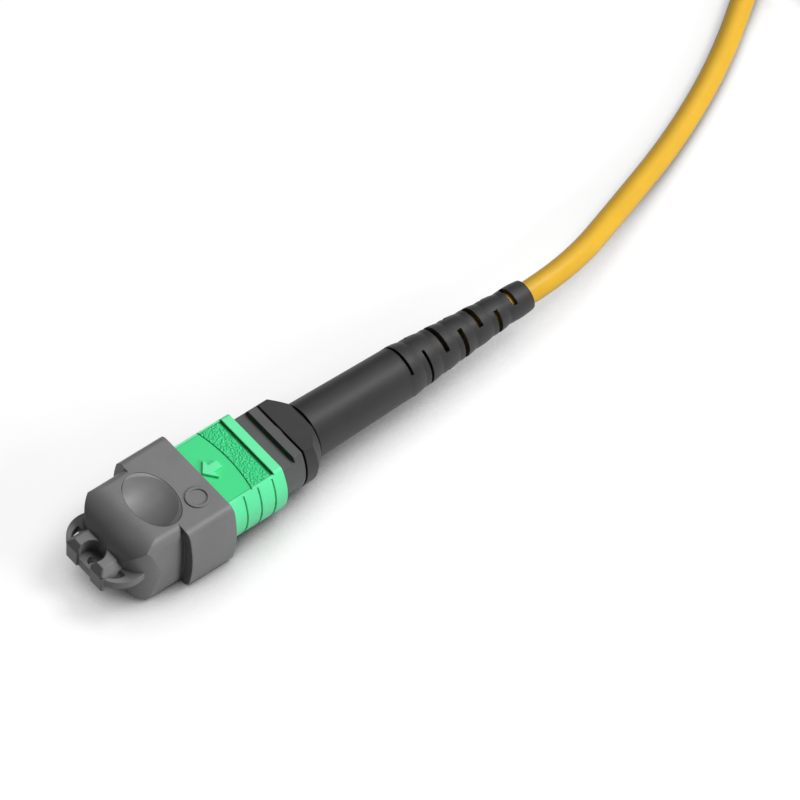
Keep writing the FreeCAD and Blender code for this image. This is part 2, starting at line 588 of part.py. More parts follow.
def tube(name, points):
    """Round tube along a route, with its radii, length and volume printed."""
    path, radii = arc_path(points)
    way = (points[1] - points[0]).normalize()
    mouth = Part.Wire([Part.makeCircle(CABLE_R, points[0], way)])
    solid = path.makePipeShell([mouth], True, False)
    expected = math.pi * CABLE_R ** 2 * path.Length
    runs = [round((b - a).Length, 1) for a, b in zip(points[:-1], points[1:])]
    print(name, "radii", [round(r, 1) for r in radii], "runs", runs,
          "length", round(path.Length, 1), "volume ratio", round(solid.Volume / expected, 4))
    return solid


def cable():
    """Free run of the jacketed cable along the floor."""
    return tube("cable", cable_route())


def tail_bundle(gap, length, radius):
    """Straight bundle that comes out of the cut end of the cable."""
    x, y = on_coil(TOP_TURN_R, TOP_END_DEG)
    return Part.makeCylinder(radius, length, V(x, y + END_RUN + gap, TOP_Z), V(0, 1, 0))


def tail_yarn():
    """Strength yarn trimmed short at the cut end."""
    outer = tail_bundle(0.0, YARN_END, CABLE_R - 0.3)
    return outer.cut(tail_bundle(-1.0, YARN_END + 2, 0.62))


def tail_fibres():
    """The loose fibres at the cut end, as one bundle."""
    return tail_bundle(0.0, FIBRE_END, 0.6)


def coil_tie():
    """Band drawn round the turns, square to them."""
    r0, r1 = math.sqrt((COIL_MID_R - COIL_HALF_W) ** 2 - (TIE_WIDTH / 2) ** 2), COIL_MID_R + COIL_HALF_W
    t0, t1 = TOP_TURN_R - CABLE_R, TOP_TURN_R + CABLE_R
    z0, z1, z2 = COIL_Z0, COIL_Z0 + COIL_H, TOP_Z + CABLE_R
    corners = [(r0, z0), (r1, z0), (r1, z1), (t1, z2), (t0, z2), (r0, z1)]
    loop = Part.makePolygon([V(r, 0, z) for r, z in corners + corners[:1]])
    gap, outer = loop.makeOffset2D(0.05), loop.makeOffset2D(0.05 + TIE_THICK)
    band, inside = [Part.Face(wire).extrude(V(0, TIE_WIDTH, 0)) for wire in (outer, gap)]
    band = band.cut(inside)
    band.translate(V(0, -TIE_WIDTH / 2, 0))
    band.rotate(V(0, 0, 0), V(0, 0, 1), TIE_DEG)
    band.translate(V(COIL_C[0], COIL_C[1], 0))
    return band


def cable_stub():
    """Cable inside the boot, from the crimp to the boot's mouth."""
    return rod(CRIMP_REAR - 0.35, BOOT_END, CABLE_R)


def top_turn():
    """Last turn lying on the others, with the short straight end of the cable."""
    x, y = on_coil(TOP_TURN_R, TOP_END_DEG)
    mouth = Part.Face(Part.Wire([Part.makeCircle(CABLE_R, V(x, y, TOP_Z), V(0, 1, 0))]))
    turn = mouth.revolve(V(COIL_C[0], COIL_C[1], TOP_Z), V(0, 0, 1), TOP_TURN_DEG)
    return turn.fuse(Part.makeCylinder(CABLE_R, END_RUN, V(x, y, TOP_Z), V(0, 1, 0)))


def cable_coil():
    """Outer shape of the stored turns: two full layers, and the last turn lying on them."""
    cx, cy = COIL_C
    ring = Part.makeCylinder(COIL_MID_R + COIL_HALF_W, COIL_H, V(cx, cy, COIL_Z0))
    ring = ring.cut(Part.makeCylinder(COIL_MID_R - COIL_HALF_W, COIL_H, V(cx, cy, COIL_Z0)))
    ring = ring.makeFillet(1.2, [e for e in ring.Edges if len(e.Vertexes) == 1])
    return ring.fuse(top_turn())


def main():
    """Builds every piece and writes one STEP file per node."""
    os.makedirs("parts", exist_ok=True)
    pieces = {
        "dust_cap": dust_cap(), "coupling_sleeve": coupling_sleeve(), "inner_housing": inner_housing(),
        "mt_ferrule": mt_ferrule(), "guide_pin_left": guide_pin(-PIN_PITCH / 2),
        "guide_pin_right": guide_pin(PIN_PITCH / 2), "pin_clamp": pin_clamp(), "ferrule_boot": ferrule_boot(),
        "fibre_ribbon": fibre_ribbon(), "main_spring": main_spring(), "sleeve_spring_left": sleeve_spring(-1),
        "sleeve_spring_right": sleeve_spring(1), "backbone": backbone(), "aramid_yarn": aramid_yarn(),
        "crimp_ring": crimp_ring(), "boot": boot(), "cable_stub": cable_stub(), "cable": cable(),
        "cable_coil": cable_coil(), "coil_tie": coil_tie(), "tail_yarn": tail_yarn(),
        "tail_fibres": tail_fibres(),
    }
    for name, shape in pieces.items():
        shape.translate(V(-BASE_MID_X, 0, 0))
        box = shape.BoundBox
        print(name, shape.ShapeType, len(shape.Solids), shape.isValid(), round(shape.Volume, 2),
              [round(v, 2) for v in (box.XMin, box.YMin, box.ZMin, box.XMax, box.YMax, box.ZMax)])
        shape.exportStep("parts/" + name + ".step")


main()
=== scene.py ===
"""Looks of a push-pull multi-fibre plug with its dust cap and coiled tail, built round the CAD part."""

import json
import logging
import math
from dataclasses import dataclass
from enum import Enum
from typing import ClassVar

import bpy
from mathutils import Matrix, Vector

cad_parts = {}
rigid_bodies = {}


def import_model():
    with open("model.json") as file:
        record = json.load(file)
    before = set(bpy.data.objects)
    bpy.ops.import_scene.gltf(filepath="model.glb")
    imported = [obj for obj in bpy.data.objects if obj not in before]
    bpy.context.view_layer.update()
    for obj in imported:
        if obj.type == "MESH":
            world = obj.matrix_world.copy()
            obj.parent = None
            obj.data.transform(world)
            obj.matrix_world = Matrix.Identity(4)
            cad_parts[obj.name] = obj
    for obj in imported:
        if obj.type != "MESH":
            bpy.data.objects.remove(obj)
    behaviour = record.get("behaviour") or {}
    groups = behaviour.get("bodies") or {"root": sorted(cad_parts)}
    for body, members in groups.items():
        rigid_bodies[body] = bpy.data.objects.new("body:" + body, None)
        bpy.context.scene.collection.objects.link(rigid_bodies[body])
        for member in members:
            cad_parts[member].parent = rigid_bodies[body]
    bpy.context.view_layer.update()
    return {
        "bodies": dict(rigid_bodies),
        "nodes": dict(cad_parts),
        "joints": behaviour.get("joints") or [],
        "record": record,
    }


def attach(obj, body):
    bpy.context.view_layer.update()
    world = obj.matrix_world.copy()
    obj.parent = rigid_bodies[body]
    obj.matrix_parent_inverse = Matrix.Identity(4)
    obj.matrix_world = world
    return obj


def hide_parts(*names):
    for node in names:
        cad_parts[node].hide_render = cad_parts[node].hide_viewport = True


MM = 0.001
AIM = (-0.02, 0.0, 0.005)
WEAVE = "weave"
STRAND = "strand"
log = logging.getLogger("plug")

Point = tuple[float, float, float]
Colour = tuple[float, float, float]
Socket = bpy.types.NodeSocket
Value = Socket | float


class Body(Enum):
    """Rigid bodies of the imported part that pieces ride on."""

    PLUG = "plug"
    CAP = "cap"
    SLEEVE = "sleeve"
    FERRULE = "ferrule"


# ---- shader building


class Tree:
    """Short calls for building a node tree.

    Args:
        tree: the node tree.
    """

    def __init__(self, tree: bpy.types.NodeTree) -> None:
        """Keeps the tree."""
        self.tree = tree

    def add(self, kind: str, links: dict | None = None, **settings: object) -> bpy.types.Node:
        """Args:
            kind: Blender node type.
            links: what each input gets, by name or index.
            settings: the node's properties, which are set before its inputs.

        Returns:
            The new node.
        """
        node = self.tree.nodes.new(kind)
        for key, value in settings.items():
            setattr(node, key, value)
        for key, value in (links or {}).items():
            self.feed(node.inputs[key], value)
        return node

    def feed(self, socket: Socket, value: object) -> None:
        """Links a socket to another, or sets its plain value.

        Args:
            socket: the input.
            value: an output socket or a value.
        """
        if isinstance(value, Socket):
            self.tree.links.new(value, socket)
        else:
            socket.default_value = value

    def math(self, operation: str, a: Value, b: Value = 0.0, clamp: bool = False) -> Socket:
        """Args:
            operation: Blender math operation.
            a: first value or output.
            b: second value or output.
            clamp: whether the result stays from 0 to 1.

        Returns:
            The result.
        """
        return self.add("ShaderNodeMath", {0: a, 1: b}, operation=operation, use_clamp=clamp).outputs[0]

    def times(self, a: Value, b: Value, clamp: bool = False) -> Socket:
        """Args:
            a: first value or output.
            b: second value or output.
            clamp: whether the result stays from 0 to 1.

        Returns:
            Their product.
        """
        return self.math("MULTIPLY", a, b, clamp)

    def plus(self, a: Value, b: Value) -> Socket:
        """Args:
            a: first value or output.
            b: second value or output.

        Returns:
            Their sum.
        """
        return self.math("ADD", a, b)

    def minus(self, a: Value, b: Value) -> Socket:
        """Args:
            a: first value or output.
            b: second value or output.

        Returns:
            Their difference.
        """
        return self.math("SUBTRACT", a, b)

    def vector(self, operation: str, links: dict) -> Socket:
        """Args:
            operation: Blender vector math operation.
            links: what each input gets.

        Returns:
            The resulting vector.
        """
        return self.add("ShaderNodeVectorMath", links, operation=operation).outputs[0]

    def join(self, **parts: Value) -> Socket:
        """Args:
            parts: values or outputs for X, Y and Z; what is left out is 0.

        Returns:
            The vector made of them.
        """
        return self.add("ShaderNodeCombineXYZ", parts).outputs[0]


class Nodes(Tree):
    """One material's node tree.

    Args:
        name: name of the material.
    """

    def __init__(self, name: str) -> None:
        """Makes the material with its shader."""
        self.material = bpy.data.materials.new(name)
        self.material.use_nodes = True
        super().__init__(self.material.node_tree)
        self.shader = self.tree.nodes["Principled BSDF"]

    def set(self, name: str, value: Value | tuple) -> None:
        """Args:
            name: input of the shader.
            value: an output socket or a value.
        """
        self.feed(self.shader.inputs[name], value)

    def fed(self, name: str) -> Socket:
        """Args:
            name: input of the shader.

        Returns:
            What is linked to it.
        """
        return self.shader.inputs[name].links[0].from_socket

    def tint(self, share: Value, colour: Colour) -> None:
        """Mixes a colour over the base colour.

        Args:
            share: mask of the new colour.
            colour: linear colour.
        """
        self.set("Base Color", self.mix(share, self.fed("Base Color"), colour))

    def emboss(self, height: Socket, distance: float) -> None:
        """Adds a height map to the normal.

        Args:
            height: height map.
            distance: height in millimetres that 1 stands for.
        """
        self.set("Normal", self.bump(height, distance, self.fed("Normal")))

    def place(self) -> Socket:
        """Returns:
            Object coordinates in millimetres.
        """
        coord = self.add("ShaderNodeTexCoord").outputs["Object"]
        return self.vector("SCALE", {0: coord, "Scale": 1.0 / MM})

    def split(self, vector: Socket) -> list:
        """Args:
            vector: a vector output.

        Returns:
            Its x, y and z outputs.
        """
        return list(self.add("ShaderNodeSeparateXYZ", {0: vector}).outputs)

    def stretch(self, vector: Socket, factors: Point) -> Socket:
        """Args:
            vector: a vector output.
            factors: what each part of it is multiplied by.

        Returns:
            The product.
        """
        return self.vector("MULTIPLY", {0: vector, 1: factors})

    def noise(self, vector: Socket, scale: float, detail: float = 4.0, rough: float = 0.55) -> Socket:
        """Args:
            vector: where the noise is read, in millimetres.
            scale: cells per millimetre.
            detail: octaves.
            rough: weight of the finer octaves.

        Returns:
            Noise from 0 to 1.
        """
        links = {"Vector": vector, "Scale": scale, "Detail": detail, "Roughness": rough}
        return self.add("ShaderNodeTexNoise", links).outputs["Fac"]

    def cells(self, vector: Socket, scale: float, smooth: float) -> Socket:
        """Args:
            vector: where the cells are read, in millimetres.
            scale: cells per millimetre.
            smooth: smoothness of the distance.

        Returns:
            Distance inside a cell.
        """
        links = {"Scale": scale, "Smoothness": smooth, "Vector": vector}
        return self.add("ShaderNodeTexVoronoi", links, feature="SMOOTH_F1").outputs["Distance"]

    def ramp(self, value: Value, low: float, high: float, to_low: float = 0.0,
             to_high: float = 1.0) -> Socket:
        """Args:
            value: what is mapped.
            low: value that gives to_low.
            high: value that gives to_high.
            to_low: result at low.
            to_high: result at high.

        Returns:
            The smooth, clamped result.
        """
        links = {"Value": value, "From Min": low, "From Max": high, "To Min": to_low, "To Max": to_high}
        return self.add("ShaderNodeMapRange", links, interpolation_type="SMOOTHSTEP").outputs["Result"]

    def window(self, value: Value, low: float, high: float, soft: float) -> Socket:
        """Args:
            value: what is tested.
            low: lower end.
            high: upper end.
            soft: width of each end.

        Returns:
            1 between the ends and 0 outside them.
        """
        rise = self.ramp(value, low - soft, low + soft)
        fall = self.ramp(value, high - soft, high + soft, 1.0, 0.0)
        return self.times(rise, fall)

    def mix(self, factor: Value, a: Socket | Colour, b: Socket | Colour) -> Socket:
        """Args:
            factor: share of b.
            a: first colour.
            b: second colour.

        Returns:
            The mixed colour.
        """
        a, b = ((*value, 1.0) if isinstance(value, tuple) else value for value in (a, b))
        return self.add("ShaderNodeMix", {0: factor, 6: a, 7: b}, data_type="RGBA").outputs[2]

    def eased(self, radius: float) -> Socket:
        """Args:
            radius: in millimetres.

        Returns:
            The surface's normal with its sharp edges eased over that radius.
        """
        return self.add("ShaderNodeBevel", {"Radius": radius * MM}, samples=4).outputs["Normal"]

    def crevice(self, reach: float) -> Socket:
        """Args:
            reach: in millimetres.

        Returns:
            0 in narrow corners and 1 on open surfaces.
        """
        node = self.add("ShaderNodeAmbientOcclusion", {"Distance": reach * MM}, samples=6)
        return self.ramp(node.outputs["AO"], 0.25, 0.95)

    def parting(self, height: float, wide: float, high: float) -> None:
        """Adds the thin ridge that a mould's halves leave.

        Args:
            height: where it runs, in millimetres above the floor.
            wide: width of the ridge.
            high: how far it stands out.
        """
        level = self.split(self.place())[2]
        ridge = self.window(level, height - wide / 2, height + wide / 2, wide / 2)
        self.emboss(ridge, high)

    def bump(self, height: Socket, distance: float, below: Socket | None = None) -> Socket:
        """Args:
            height: height map.
            distance: height in millimetres that 1 stands for.
            below: a normal that this one is added to.

        Returns:
            The bumped normal.
        """
        links = {"Distance": distance * MM, "Height": height}
        if below is not None:
            links["Normal"] = below
        return self.add("ShaderNodeBump", links).outputs["Normal"]


# ---- finishes


@dataclass(frozen=True)
class Plastic:
    """Moulded plastic or rubber.

    Args:
        name: material name.
        colour: linear base colour.
        rough: mean roughness.
        grain: depth of the fine mould texture in millimetres.
        grain_scale: cells of that texture per millimetre.
        mottle: how much the colour varies.
        scuff: how much paler scuffs show.
        edge: radius of the eased edges in millimetres.
        shade: how much painted shade darkens narrow corners.
        gloss: strength of the mirror-like part.
    """

    name: str
    colour: Colour
    rough: float
    grain: float = 0.004
    grain_scale: float = 9.0
    mottle: float = 0.06
    scuff: float = 0.10
    edge: float = 0.12
    shade: float = 0.35
    gloss: float = 0.5

    def build(self) -> Nodes:
        """Returns:
            The node tree, with its fine texture as the shader's normal.
        """
        pen = Nodes(self.name)
        place = pen.place()
        cloud = pen.noise(place, 0.35, 3.0)
        fine = pen.noise(place, self.grain_scale, 3.0, 0.6)
        dark = tuple(c * (1.0 - self.mottle) for c in self.colour)
        pale = tuple(min(1.0, c * (1.0 + self.mottle)) for c in self.colour)
        base = pen.mix(pen.ramp(cloud, 0.3, 0.7), dark, pale)
        base = pen.mix(pen.ramp(fine, 0.25, 0.75, 0.0, 0.35), base, dark)
        scratches = pen.noise(pen.stretch(place, (0.5, 6.0, 6.0)), 1.6, 5.0, 0.7)
        marks = pen.times(pen.ramp(scratches, 0.62, 0.74), pen.ramp(cloud, 0.4, 0.65), clamp=True)
        lift = tuple(min(1.0, c * 1.5 + 0.02) for c in self.colour)
        base = pen.mix(pen.times(marks, self.scuff), base, lift)
        # painted shade: an ambient-occlusion reading darkens narrow corners towards 0.12 of the colour
        corners = pen.minus(1.0, pen.crevice(0.5))
        base = pen.mix(pen.times(corners, self.shade), base, tuple(c * 0.12 for c in self.colour))
        pen.set("Base Color", base)
        rough = pen.plus(self.rough - 0.05, pen.times(pen.plus(fine, cloud), 0.06))
        pen.set("Roughness", pen.plus(rough, pen.times(marks, 0.08)))
        pen.set("IOR", 1.47)
        pen.set("Specular IOR Level", self.gloss)
        pen.set("Normal", pen.bump(fine, self.grain, pen.eased(self.edge)))
        return pen


@dataclass(frozen=True)
class Metal:
    """Ground, drawn or pressed metal.

    Args:
        name: material name.
        colour: linear base colour.
        rough: mean roughness.
        brush: factors that stretch the grain across the brushing.
        grain: depth of the grain in millimetres.
    """

    name: str
    colour: Colour
    rough: float
    brush: Point
    grain: float = 0.002

    def build(self) -> Nodes:
        """Returns:
            The node tree.
        """
        pen = Nodes(self.name)
        place = pen.place()
        lines = pen.noise(pen.stretch(place, self.brush), 4.0, 4.0, 0.65)
        cloud = pen.noise(place, 0.6, 3.0)
        dark = tuple(c * 0.82 for c in self.colour)
        pen.set("Base Color", pen.mix(pen.ramp(lines, 0.3, 0.7), dark, self.colour))
        pen.set("Metallic", 1.0)
        rough = pen.plus(self.rough - 0.06, pen.times(pen.plus(lines, cloud), 0.07))
        pen.set("Roughness", rough)
        pen.set("Normal", pen.bump(lines, self.grain))
        return pen


@dataclass(frozen=True)
class Webbing:
    """Woven strap with a napped face.

    Args:
        name: material name.
        colour: linear base colour.
        pitch: threads per millimetre.
        nap: depth of the nap in millimetres.
    """

    name: str
    colour: Colour
    pitch: float = 1.6
    nap: float = 0.12

    def build(self) -> Nodes:
        """Returns:
            The node tree.
        """
        pen = Nodes(self.name)
        surface = pen.add("ShaderNodeUVMap", uv_map=WEAVE).outputs["UV"]
        along, across, _ = pen.split(surface)
        warp = pen.math("SINE", pen.times(along, 2 * math.pi * self.pitch))
        weft = pen.math("SINE", pen.times(across, 2 * math.pi * self.pitch))
        weave = pen.times(warp, weft)
        fuzz = pen.noise(surface, 6.0, 4.0, 0.7)
        height = pen.plus(pen.times(weave, 0.3), fuzz)
        # painted highlight: the weave and nap are paler where they stand high
        pale = tuple(c * 2.2 + 0.01 for c in self.colour)
        pen.set("Base Color", pen.mix(pen.ramp(height, 0.3, 0.9), self.colour, pale))
        pen.set("Roughness", 0.85)
        pen.set("Sheen Weight", 0.3)
        pen.set("Normal", pen.bump(height, self.nap))
        return pen


@dataclass(frozen=True)
class Coating:
    """Coloured skins of single fibres, one colour for each.

    Args:
        name: material name.
        colours: linear colours, in the order in which the fibres are numbered.
        attribute: name of the number that each fibre carries.
    """

    name: str
    colours: tuple[Colour, ...]
    attribute: str

    def build(self) -> Nodes:
        """Returns:
            The node tree.
        """
        pen = Nodes(self.name)
        number = pen.add("ShaderNodeAttribute", attribute_name=self.attribute).outputs["Fac"]
        ramp = pen.add("ShaderNodeValToRGB")
        ramp.color_ramp.interpolation = "CONSTANT"
        stops = ramp.color_ramp.elements
        for k, colour in enumerate(self.colours):
            stop = stops[0] if k == 0 else stops.new(k / len(self.colours))
            stop.color = (*colour, 1.0)
        stops.remove(stops[len(self.colours)])
        pen.feed(ramp.inputs["Fac"], pen.times(pen.plus(number, 0.5), 1.0 / len(self.colours)))
        cloud = pen.noise(pen.place(), 2.0, 3.0)
        pen.set("Base Color",
                 pen.mix(pen.ramp(cloud, 0.3, 0.8, 0.0, 0.25), ramp.outputs["Color"], (0.6, 0.6, 0.6)))
        pen.set("Roughness", 0.25)
        return pen


FIBRE_COLOURS = Coating("fibre_coatings", (
    (0.03, 0.12, 0.55), (0.8, 0.22, 0.02), (0.03, 0.3, 0.06), (0.16, 0.06, 0.02),
    (0.28, 0.3, 0.33), (0.85, 0.85, 0.82), (0.6, 0.02, 0.02), (0.02, 0.02, 0.02),
    (0.85, 0.65, 0.04), (0.25, 0.05, 0.4), (0.85, 0.3, 0.4), (0.05, 0.55, 0.6),
), STRAND)


# ---- geometry nodes


class Growth(Tree):
    """A geometry node tree that makes one piece.

    Args:
        name: name of the tree.
    """

    def __init__(self, name: str) -> None:
        """Makes the tree with its geometry input and output."""
        super().__init__(bpy.data.node_groups.new(name, "GeometryNodeTree"))
        for way in ("INPUT", "OUTPUT"):
            self.tree.interface.new_socket("Geometry", in_out=way, socket_type="NodeSocketGeometry")
        self.entry = self.tree.nodes.new("NodeGroupInput")
        self.exit = self.tree.nodes.new("NodeGroupOutput")
        self.values: dict = {}

    def size(self, name: str, value: float) -> Socket:
        """Adds a named input.

        Args:
            name: what the input is called.
            value: what it is set to.

        Returns:
            Its output inside the tree.
        """
        kind = "NodeSocketInt" if isinstance(value, int) else "NodeSocketFloat"
        socket = self.tree.interface.new_socket(name, in_out="INPUT", socket_type=kind)
        self.values[socket.identifier] = value
        return self.entry.outputs[name]

    def finish(self, geometry: Socket, pen: Nodes, name: str) -> bpy.types.Object:
        """Realizes the result, gives it its material and makes it a plain mesh.

        Args:
            geometry: what the tree has made.
            pen: the material's node tree.
            name: name of the piece.

        Returns:
            The piece.
        """
        real = self.add("GeometryNodeRealizeInstances", {0: geometry})
        dressed = self.add("GeometryNodeSetMaterial", {"Geometry": real.outputs[0], "Material": pen.material})
        self.tree.links.new(dressed.outputs[0], self.exit.inputs[0])
        holder = bpy.data.objects.new(name + "_growth", bpy.data.meshes.new(name + "_growth"))
        bpy.context.scene.collection.objects.link(holder)
        modifier = holder.modifiers.new("growth", "NODES")
        modifier.node_group = self.tree
        for identifier, value in self.values.items():
            modifier[identifier] = value
        bpy.context.view_layer.update()
        graph = bpy.context.evaluated_depsgraph_get()
        mesh = bpy.data.meshes.new_from_object(holder.evaluated_get(graph))
        bpy.data.objects.remove(holder)
        mesh.name = name
        return bpy.data.objects.new(name, mesh)


# ---- sub-assemblies


@dataclass
class Assembly:
    """A named group of pieces of the object, which ride on one body.
    """

    body: ClassVar[Body] = Body.PLUG
    frame: dict

    def dress(self, pen: Nodes, *nodes: str) -> None:
        """Gives carried-over CAD nodes a material.

        Args:
            pen: the material's node tree.
            nodes: CAD node names.
        """
        for name in nodes:
            mesh = self.frame["nodes"][name].data
            mesh.materials.clear()
            mesh.materials.append(pen.material)
            log.info("%s: %s, %d faces", name, pen.material.name, len(mesh.polygons))

    def add(self, obj: bpy.types.Object, pen: Nodes, *instead_of: str) -> bpy.types.Object:
        """Links a new piece, gives it its material and lets it ride.

        Args:
            obj: the piece.
            pen: the material's node tree.
            instead_of: CAD nodes that it stands for.

        Returns:
            The piece.
        """
        if obj.name not in bpy.context.scene.collection.objects:
            bpy.context.scene.collection.objects.link(obj)
        obj.data.materials.clear()
        obj.data.materials.append(pen.material)
        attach(obj, self.body.value)
        if instead_of:
            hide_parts(*instead_of)
        log.info("%s rides on %s", obj.name, self.body.value)
        return obj


@dataclass
class DustCap(Assembly):
    """Pull-off cap with its thumb dish, nose lug and tether loops.

    Args:
        dish: middle of the thumb dish, in millimetres.
        dish_half: its half length and half width.
        dish_depth: how much deeper it looks than a plain scallop.
        top: height above which the dish lies.
    """

    body = Body.CAP
    dish: tuple[float, float] = (23.0, 0.0)
    dish_half: tuple[float, float] = (2.8, 4.25)
    dish_depth: float = 1.1
    top: float = 8.8

    def build(self) -> None:
        """Dresses the cap."""
        pen = Plastic("cap_grey_satin", (0.195, 0.195, 0.197), 0.42, grain=0.006, grain_scale=7.0, scuff=0.12,
                      edge=0.22).build()
        self.scallop(pen)
        self.dress(pen, "dust_cap")

    def scallop(self, pen: Nodes) -> None:
        """Deepens the thumb dish with a bump and paints shade along its rim as a thin dark line.

        Args:
            pen: the cap's material.
        """
        x, y, z = pen.split(pen.place())
        u = pen.times(pen.minus(x, self.dish[0]), 1.0 / self.dish_half[0])
        v = pen.times(pen.minus(y, self.dish[1]), 1.0 / self.dish_half[1])
        out = pen.plus(pen.times(u, u), pen.times(v, v))
        above = pen.ramp(z, self.top - 0.05, self.top + 0.05)
        inside = pen.times(pen.ramp(out, 0.98, 1.02, 1.0, 0.0), above)
        hollow = pen.times(pen.minus(pen.times(v, v), 1.0), inside)
        pen.emboss(hollow, self.dish_depth)
        # painted shade: a thin dark line along the dish's rim, where its edge would be shaded
        rim_shade = pen.times(pen.window(out, 0.985, 1.02, 0.012), above)
        pen.tint(pen.times(rim_shade, 0.45), (0.03, 0.03, 0.03))


@dataclass
class CouplingSleeve(Assembly):
    """Green sleeve with its sunk panels and stippled grip, and the two springs that push it forward.

    Args:
        mid_z: height of the sleeve's axis in millimetres.
        panel_z: distances from the axis between which the sunk panels lie.
        panel_half: half width of a panel.
        groove_x: ends of the deep groove in front of the flange.
        grip_x: rear end of the grip, and its front end at the sleeve's edge.
        grip_bow: how far the front end is drawn back in the middle.
        grip_half: half width over which it is drawn back.
        stipple: depth of the grip's texture.
    """

    body = Body.SLEEVE
    mid_z: float = 4.9
    panel_z: tuple[float, float] = (3.2, 3.8)
    panel_half: float = 4.75
    groove_x: tuple[float, float] = (9.2, 9.68)
    grip_x: tuple[float, float] = (9.75, 12.8)
    grip_bow: float = 0.9
    grip_half: float = 6.2
    stipple: float = 0.12

    def build(self) -> None:
        """Dresses the sleeve and its springs."""
        pen = Plastic("sleeve_green_satin", (0.14, 0.92, 0.42), 0.4, grain=0.004, mottle=0.03, scuff=0.05,
                      edge=0.15, shade=0.12).build()
        x, y, z = pen.split(pen.place())
        off = pen.math("ABSOLUTE", pen.minus(z, self.mid_z))
        wide = pen.math("ABSOLUTE", y)
        flat = pen.window(off, *self.panel_z, 0.04)
        inner = pen.times(flat, pen.ramp(wide, self.panel_half, self.panel_half + 0.04, 1.0, 0.0))
        self.panels(pen, x, wide, flat, inner)
        self.grip(pen, x, y, inner)
        self.dress(pen, "coupling_sleeve")
        steel = Metal("spring_steel_drawn", (0.62, 0.62, 0.64), 0.3, (6.0, 6.0, 0.6))
        self.dress(steel.build(), "sleeve_spring_left", "sleeve_spring_right")

    def panels(self, pen: Nodes, x: Socket, wide: Socket, flat: Socket, inner: Socket) -> None:
        """Deepens the green of the sunk panels, and paints shade into their groove and along their side
        lines.

        Args:
            pen: the sleeve's material.
            x: position along the sleeve.
            wide: distance from its middle.
            flat: mask of the broad faces.
            inner: mask of the panels.
        """
        pen.tint(inner, (0.04, 0.76, 0.26))
        # painted shade: the panels' side lines and the groove are tinted dark green, as if shaded in these
        # creases
        line = pen.times(flat, pen.window(wide, self.panel_half - 0.02, self.panel_half + 0.1, 0.03))
        groove = pen.times(inner, pen.window(x, *self.groove_x, 0.03))
        low = pen.math("MAXIMUM", pen.times(line, 0.6), pen.times(groove, 0.85))
        pen.tint(low, (0.005, 0.3, 0.09))

    def grip(self, pen: Nodes, x: Socket, y: Socket, inner: Socket) -> None:
        """Adds the rough grip behind the bowed line on the two broad faces, with painted highlight on its
        raised pebbles and painted shade in its pits.

        Args:
            pen: the sleeve's material.
            x: position along the sleeve.
            y: position across it.
            inner: mask of the panels.
        """
        place = pen.place()
        across = pen.times(y, 1.0 / self.grip_half)
        bow = pen.times(pen.minus(1.0, pen.times(across, across)), self.grip_bow)
        along = pen.plus(x, bow)
        behind = pen.ramp(along, self.grip_x[1] - 0.04, self.grip_x[1] + 0.04, 1.0, 0.0)
        field_x = pen.times(pen.ramp(x, self.grip_x[0] - 0.06, self.grip_x[0] + 0.06), behind)
        inside = pen.times(field_x, inner)
        warp = pen.plus(pen.noise(place, 4.5, 2.0, 0.6), pen.cells(place, 3.4, 0.4))
        height = pen.times(pen.ramp(warp, 0.55, 1.25, 1.0, 0.0), inside)
        pen.emboss(height, self.stipple)
        # painted highlight and shade: the raised pebbles are tinted paler and the pits darker
        pit_shade = pen.times(pen.ramp(warp, 0.9, 1.25, 0.0, 0.25), inside)
        pebble_highlight = pen.times(pen.ramp(warp, 0.6, 0.9, 0.5, 0.0), inside)
        pen.tint(pebble_highlight, (0.3, 0.98, 0.6))
        pen.tint(pit_shade, (0.02, 0.62, 0.24))


@dataclass
class PlugCore(Assembly):
    """Inner housing, backbone, crimp and yarn anchor.

    Args:
        parting: height, width and rise of the mould's parting line on the backbone, in millimetres.
    """

    parting: Point = (4.9, 0.07, 0.03)

    def build(self) -> None:
        """Dresses the fixed core of the plug."""
        self.dress(Plastic("plug_green_satin", (0.05, 0.6, 0.27), 0.42, mottle=0.04).build(), "inner_housing")
        pen = Plastic("backbone_black_satin", (0.09, 0.09, 0.092), 0.42, grain=0.005, scuff=0.18,
                      shade=0.15).build()
        pen.parting(*self.parting)
        self.dress(pen, "backbone")
        self.dress(Metal("crimp_plated", (0.66, 0.65, 0.62), 0.28, (0.6, 6.0, 6.0)).build(), "crimp_ring")
        self.dress(Metal("main_spring_drawn", (0.6, 0.6, 0.62), 0.3, (6.0, 6.0, 0.6)).build(), "main_spring")
        self.dress(Metal("pin_clamp_pressed", (0.6, 0.6, 0.6), 0.35, (5.0, 0.6, 5.0)).build(), "pin_clamp")
        yarn = Plastic("yarn_gold_plain", (0.8, 0.6, 0.15), 0.6, grain=0.03, grain_scale=5.0)
        self.dress(yarn.build(), "aramid_yarn")


